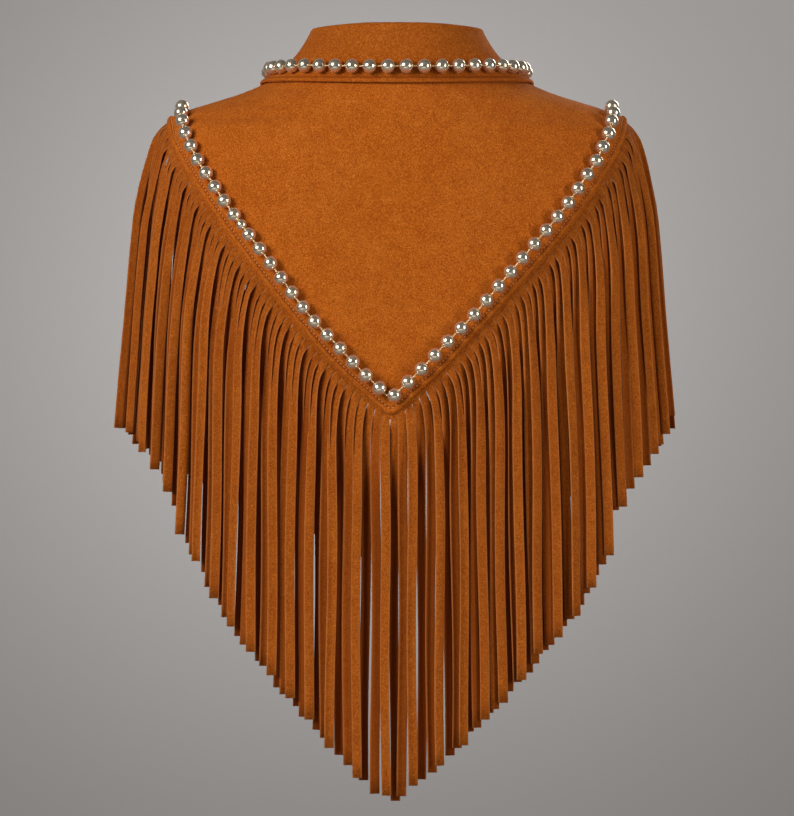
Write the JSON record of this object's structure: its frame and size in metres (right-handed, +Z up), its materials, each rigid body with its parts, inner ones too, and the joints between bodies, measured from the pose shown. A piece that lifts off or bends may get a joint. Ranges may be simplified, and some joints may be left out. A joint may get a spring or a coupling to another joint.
{
  "type": "suede fringe cape, worn form",
  "caption": "Short suede shoulder cape with a turned-down collar, a pointed back yoke, open fronts, long cut fringe and a ball chain along collar and hem.",
  "frame": {"origin": "middle of the neck opening, level with the points where the shoulder meets the neck", "axes": "+Z up along the wearer's spine, +Y towards the wearer's back, +X towards the wearer's left; the wearer faces -Y"},
  "size_m": [0.4881, 0.2401, 0.6701],
  "materials": {
    "panel_suede": "napped suede, warm tan",
    "collar_suede": "napped suede, warm tan",
    "fringe_suede": "napped suede, cut edges",
    "nickel": "polished nickel plate"
  },
  "bodies": {
    "root": {"back_panel": "panel_suede", "front_left": "panel_suede", "front_right": "panel_suede", "collar": "collar_suede", "fringe_back": "fringe_suede", "fringe_front_left": "fringe_suede", "fringe_front_right": "fringe_suede", "chain_back": "nickel", "chain_front_left": "nickel", "chain_front_right": "nickel", "chain_collar": "nickel"}
  },
  "joints": []
}
